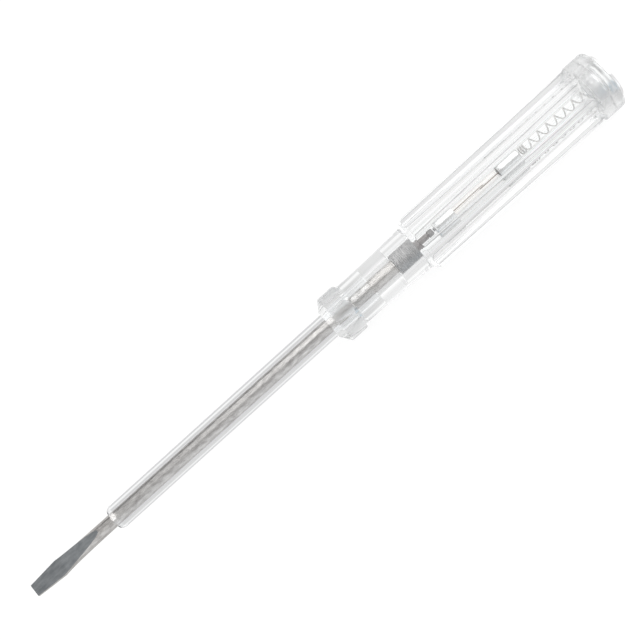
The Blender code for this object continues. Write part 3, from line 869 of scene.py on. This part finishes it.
# Contact spring
# A coil of thin spring wire between the lamp and the plug. Its front turns are wound close, and the open
# turns behind them give way as the plug is screwed in.
spring_low, spring_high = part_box("contact_spring")
wire_radius = 0.000145
coil_radius = 0.00162 - wire_radius
close_turns = 2.5
close_pitch = 0.00048
open_turns = 7.35
turn_points = 40
wire_columns = 14
spring_start_angle = -0.64

coil_tree, given, result = new_group(
    "coil_winder", "GeometryNodeTree",
    {
        "Points": int((close_turns + open_turns) * turn_points),
        "Front": spring_low.x + wire_radius,
        "Rear": spring_high.x - wire_radius,
        "Coil Radius": coil_radius,
        "Wire Radius": wire_radius,
        "Close Turns": close_turns,
        "Close Pitch": close_pitch,
        "Open Turns": open_turns,
        "Start Angle": spring_start_angle,
        "Axis Height": axis_height,
        "Material": "NodeSocketMaterial",
    },
    ("Geometry", "NodeSocketGeometry"),
)
straight_line = put(coil_tree, "GeometryNodeMeshLine", Count=given["Points"])
number = put(coil_tree, "GeometryNodeInputIndex").outputs[0]
wind = functools.partial(maths, coil_tree)
run = wind("DIVIDE", number, wind("SUBTRACT", given["Points"], 1.0))
turns = wind("MULTIPLY", run, wind("ADD", given["Close Turns"], given["Open Turns"]))
close_part = wind("MINIMUM", turns, given["Close Turns"])
open_part = wind("SUBTRACT", turns, close_part)
close_length = wind("MULTIPLY", given["Close Turns"], given["Close Pitch"])
open_length = wind("SUBTRACT", wind("SUBTRACT", given["Rear"], given["Front"]), close_length)
open_pitch = wind("DIVIDE", open_length, given["Open Turns"])
along = wind("MULTIPLY_ADD", close_part, given["Close Pitch"], given["Front"])
along = wind("MULTIPLY_ADD", open_part, open_pitch, along)
angle = wind("MULTIPLY_ADD", turns, 2 * math.pi, given["Start Angle"])
wound = put(
    coil_tree, "ShaderNodeCombineXYZ", X=along,
    Y=wind("MULTIPLY", wind("SINE", angle), given["Coil Radius"]),
    Z=wind("MULTIPLY_ADD", wind("COSINE", angle), given["Coil Radius"], given["Axis Height"]))
bent = put(
    coil_tree, "GeometryNodeSetPosition", Geometry=straight_line.outputs[0], Position=wound.outputs[0])
line = put(coil_tree, "GeometryNodeMeshToCurve", Mesh=bent.outputs[0])
circle = put(
    coil_tree, "GeometryNodeCurvePrimitiveCircle", Resolution=wire_columns, Radius=given["Wire Radius"])
tube = put(
    coil_tree, "GeometryNodeCurveToMesh", Curve=line.outputs[0], Profile_Curve=circle.outputs[0],
    Fill_Caps=True)
end_tree(coil_tree, tube, given, result)

spring_steel = metal(
    "spring_steel", (0.72, 0.71, 0.70, 1), (0.56, 0.55, 0.54, 1),
    smooth=0.2, rough=0.35, scale=2500.0)
spring = bpy.data.objects.new("wound_spring", bpy.data.meshes.new("wound_spring"))
scene.collection.objects.link(spring)
run_tree(spring, coil_tree, {"Material": spring_steel})
spring.data.shade_smooth()
spring.data.set_sharp_from_angle(angle=math.radians(60))
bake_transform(spring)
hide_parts("contact_spring")

# Contact plug
# A turned and plated screw cap. Its thread holds the stack in the bore and presses the spring, its domed
# barrel sits in the handle's mouth, and the slotted flange is touched with a fingertip.
plug_low, plug_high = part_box("contact_plug")
spigot_radius = 0.00112
spigot_length = 0.0009
thread_radius = 0.00295
thread_root = 0.0026
thread_pitch = 0.00075
thread_turns = 2
relief_length = 0.0005
barrel_radius = 0.00363
barrel_length = 0.00165
barrel_round = 0.0011
flange_radius = 0.00466
flange_round = 0.0004
plug_columns = 160
thread_steps = 30
thread_fade = thread_pitch / 3
root_margin = 0.00001
slot_width = 0.0011
slot_length = 0.0056
slot_depth = 0.00035

thread_front = plug_low.x + spigot_length
thread_rear = thread_front + thread_pitch * thread_turns
barrel_front = thread_rear + relief_length
barrel_rear = barrel_front + barrel_length
plug_outline = outlined(
    (plug_low.x, pole_radius),
    (straight, (plug_low.x, spigot_radius - fit_gap), 1),
    (steep_first, (plug_low.x + fit_gap, spigot_radius), 4),
    (straight, (thread_front, spigot_radius), 1),
    (straight, (thread_front, thread_root), 1),
    (straight, (thread_rear, thread_root), thread_steps),
    (straight, (barrel_front, thread_root), 1),
    (straight, (barrel_front, barrel_radius - barrel_round), 1),
    (steep_first, (barrel_front + barrel_round, barrel_radius), 12),
    (straight, (barrel_rear, barrel_radius), 1),
    (straight, (barrel_rear + fit_gap, barrel_radius), 1),
    (straight, (barrel_rear + fit_gap, flange_radius), 1),
    (straight, (plug_high.x - flange_round, flange_radius), 1),
    (flat_first, (plug_high.x, flange_radius - flange_round), 8),
    (straight, (plug_high.x, pole_radius), 24))

thread_tree, given, result = new_group(
    "thread_roller", "GeometryNodeTree",
    {
        "Geometry": "NodeSocketGeometry",
        "Front": thread_front,
        "Rear": thread_rear,
        "Pitch": thread_pitch,
        "Thread Height": thread_radius - thread_root,
        "Slot Width": slot_width,
        "Slot Length": slot_length,
        "Slot Depth": slot_depth,
        "Face": plug_high.x,
        "Axis Height": axis_height,
        "Material": "NodeSocketMaterial",
    },
    ("Geometry", "NodeSocketGeometry"),
)
roll = functools.partial(maths, thread_tree)
x, y, z = point_place(thread_tree)
lifted = roll("SUBTRACT", z, given["Axis Height"])
plain_radius = distance_from_axis(thread_tree, y, lifted)
turn_share = roll("DIVIDE", roll("ARCTAN2", y, lifted), 2 * math.pi)
run = roll("SUBTRACT", x, given["Front"])
turns = roll("ADD", roll("DIVIDE", run, given["Pitch"]), turn_share)
ridge = roll("MULTIPLY", roll("PINGPONG", turns, 0.5), 2.0)
fades = [
    put(thread_tree, "ShaderNodeMapRange", Value=from_end, From_Max=thread_fade).outputs[0]
    for from_end in (run, roll("SUBTRACT", given["Rear"], x))
]
outside = roll("GREATER_THAN", plain_radius, thread_root - root_margin)
rise = product(thread_tree, ridge, *fades, outside, given["Thread Height"])
factor = roll("DIVIDE", roll("ADD", plain_radius, rise), plain_radius)
threaded = scaled(thread_tree, given, x, y, lifted, factor)
slot_size = put(
    thread_tree, "ShaderNodeCombineXYZ", X=roll("MULTIPLY", given["Slot Depth"], 2.0),
    Y=given["Slot Width"], Z=given["Slot Length"])
slot_place = put(thread_tree, "ShaderNodeCombineXYZ", X=given["Face"], Z=given["Axis Height"])
block = put(thread_tree, "GeometryNodeMeshCube", Size=slot_size.outputs[0])
block = put(
    thread_tree, "GeometryNodeTransform", Geometry=block.outputs[0], Translation=slot_place.outputs[0])
slotted = put(
    thread_tree, "GeometryNodeMeshBoolean", {"operation": "DIFFERENCE", "solver": "EXACT"},
    at0=threaded.outputs[0])
thread_tree.links.new(block.outputs[0], slotted.inputs["Mesh 2"])
end_tree(thread_tree, slotted, given, result)

plug_nickel = metal(
    "plug_nickel", grey(0.95), grey(0.86),
    smooth=0.14, rough=0.28, scale=900.0)
plug = turned("threaded_plug", plug_outline, plug_columns)
run_tree(plug, thread_tree, {"Material": plug_nickel})
plug.data.shade_smooth()
plug.data.set_sharp_from_angle(angle=math.radians(32))
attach(plug, "plug")
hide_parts("contact_plug")

# Studio
# A white table in a plain light tent, and a camera that looks across the tool from one side. A bright sheet
# hangs on the far side and shows through the clear plastic, and the tent's walls are white and soft greys.
view_elevation = math.radians(60.9)
view_roll = math.radians(42.09)
camera_distance = 0.380
camera_lens = 117.7
aim_along = 0.00140
aim_aside = 0.00184
to_camera = Vector((0, -math.cos(view_elevation), math.sin(view_elevation)))
unrolled_up = Vector((0, math.sin(view_elevation), math.cos(view_elevation)))
along_tool = Vector((1, 0, 0))
camera_right = along_tool * math.cos(view_roll) - unrolled_up * math.sin(view_roll)
camera_up = along_tool * math.sin(view_roll) + unrolled_up * math.cos(view_roll)
camera_place = Vector((aim_along, 0, axis_height)) + unrolled_up * aim_aside + to_camera * camera_distance
camera_data = bpy.data.cameras.new("camera")
camera_data.lens = camera_lens
camera_data.sensor_width = 36
camera = bpy.data.objects.new("camera", camera_data)
scene.collection.objects.link(camera)
camera_rows = [(camera_right[i], camera_up[i], to_camera[i], camera_place[i]) for i in range(3)]
camera.matrix_world = Matrix(camera_rows + [(0, 0, 0, 1)])
bpy.context.scene.camera = camera

floor_half = 1.5
glow_strength = 1.07
glow_share = 0.85
floor_mesh = bpy.data.meshes.new("table")
floor_corners = [(x * floor_half, y * floor_half, 0) for x, y in ((-1, -1), (1, -1), (1, 1), (-1, 1))]
floor_mesh.from_pydata(floor_corners, [], [(0, 1, 2, 3)])
floor = bpy.data.objects.new("table", floor_mesh)
scene.collection.objects.link(floor)
table_white, tree, shader = new_material("table_white")
shader.inputs["Base Color"].default_value = grey(0.9)
shader.inputs["Roughness"].default_value = 0.9
glow = put(tree, "ShaderNodeEmission", Color=grey(1), Strength=glow_strength)
both = put(tree, "ShaderNodeMixShader", at0=glow_share, at1=shader.outputs[0], at2=glow.outputs[0])
tree.links.new(both.outputs[0], tree.nodes["Material Output"].inputs["Surface"])
floor_mesh.materials.append(table_white)
floor.visible_glossy = False
floor.visible_transmission = False

ring_front = grey(0.68)
horizon_front = grey(0.18)
plug_light = grey(1.35)
plug_shade = (0.54, 0.62, 0.68, 1)
ring_rear = grey(0.79)
ring_upper_rear = grey(0.97)
ring_low_rear = grey(0.82)
camera_side = grey(0.60)
camera_side_rear = grey(0.76)
lower_wall = (0.92, 0.93, 0.94, 1)
lower_wall_rear = (1.12, 1.14, 1.16, 1)
upper_front = grey(0.34)
upper_middle = grey(0.62)
upper_rear = grey(1.7)
wall_drop = 0.3
sheet_front_share = 0.5
world = bpy.data.worlds.new("studio")
scene.world = world
world.use_nodes = True
tree = world.node_tree


def smooth_step(value, start, end, kind="SMOOTHSTEP"):
    """A mask that is 0 at the start value and 1 at the end value."""
    return put(
        tree, "ShaderNodeMapRange", {"interpolation_type": kind},
        Value=value, From_Min=start, From_Max=end).outputs[0]


def part_of(direction, axis):
    """How far a direction points along an axis."""
    return put(
        tree, "ShaderNodeVectorMath", {"operation": "DOT_PRODUCT"}, at0=direction, at1=axis).outputs["Value"]


def front_or_rear(front, rear):
    """The front's value, changing to the rear's in directions that point behind the tool."""
    return maths(tree, "MULTIPLY_ADD", maths(tree, "SUBTRACT", rear, front), at_rear, front)


# A direction has three parts: towards the camera, up in the unrolled picture, and along the tool to its
# rear. Each part of the tent is a mask that goes from 0 to 1 between two values of one of them.
direction = put(tree, "ShaderNodeTexCoord").outputs["Generated"]
back_part = part_of(direction, to_camera)
side_part = part_of(direction, unrolled_up)
along_part = part_of(direction, along_tool)
at_rear = smooth_step(along_part, 0.02, 0.07)

# The walls behind the camera: a lower and an upper one, which meet lower down at the rear
near_camera = smooth_step(side_part, -0.85, -0.35)
lower_front = blended(tree, near_camera, lower_wall, camera_side)
lower_rear = blended(tree, near_camera, lower_wall_rear, camera_side_rear)
lower = blended(tree, at_rear, lower_front, lower_rear)
in_middle = smooth_step(along_part, -0.138, -0.105)
towards_rear = smooth_step(along_part, -0.05, 0.02, "LINEAR")
upper = blended(tree, in_middle, upper_front, upper_middle)
upper = blended(tree, towards_rear, upper, upper_rear)
lowered = smooth_step(along_part, 0.04, 0.11)
wall_place = maths(tree, "MULTIPLY_ADD", lowered, wall_drop, side_part)
walls = blended(tree, smooth_step(wall_place, 0.18, 0.26), lower, upper)

# The ring of wall beyond the tool, lighter high up at the rear
upper_half = smooth_step(side_part, -0.2, 0.2)
near_ring = smooth_step(back_part, -0.65, -0.4)
ring_rear_high = blended(tree, near_ring, ring_low_rear, ring_upper_rear)
ring_rear_both = blended(tree, upper_half, ring_rear, ring_rear_high)
ring = blended(tree, at_rear, ring_front, ring_rear_both)
camera_half = smooth_step(back_part, -0.05, 0.05)
room = blended(tree, camera_half, ring, walls)

# A dark strip along the upper horizon, short of the rear
strip_top = smooth_step(back_part, 0.36, 0.22)
strip_bottom = smooth_step(back_part, -0.08, 0.04)
strip_side = smooth_step(side_part, 0.5, 0.7)
strip_front = smooth_step(along_part, -0.25, -0.19)
before_rear = maths(tree, "SUBTRACT", 1.0, at_rear)
horizon = product(tree, strip_top, strip_bottom, strip_side, before_rear, strip_front)
room = blended(tree, horizon, room, horizon_front)

# The tent's front end, which the plug's round barrel mirrors: a shaded wall below a light one
towards_front = smooth_step(along_part, -0.22, -0.30)
off_back = smooth_step(back_part, -0.40, -0.25)
off_top = smooth_step(maths(tree, "ADD", back_part, side_part), 1.36, 1.28)
front_end = product(tree, towards_front, off_back, off_top)
lit_side = smooth_step(side_part, -0.62, -0.48)
plug_walls = blended(tree, lit_side, plug_shade, plug_light)
room = blended(tree, front_end, room, plug_walls)

# The bright sheet on the far side, dimmer towards the front
lower_edge = front_or_rear(smooth_step(side_part, -0.30, -0.08), smooth_step(side_part, -0.52, -0.25))
upper_edge = front_or_rear(smooth_step(side_part, 0.75, 0.40), smooth_step(side_part, 0.52, 0.36))
sheet_front = ranged(tree, smooth_step(along_part, -0.5, -0.3), sheet_front_share, 1.0)
sheet_back = smooth_step(back_part, -0.2, -0.4)
sheet = product(tree, lower_edge, upper_edge, sheet_front, sheet_back)
rays = put(tree, "ShaderNodeLightPath").outputs
seen = maths(tree, "MAXIMUM", sheet, rays["Is Camera Ray"])
background = tree.nodes["Background"]
tree.links.new(blended(tree, seen, room, grey(1)), background.inputs["Color"])
background.inputs["Strength"].default_value = 1.0

scene.view_settings.view_transform = "Standard"
scene.cycles.max_bounces = 32
scene.cycles.transmission_bounces = 32
scene.cycles.glossy_bounces = 16
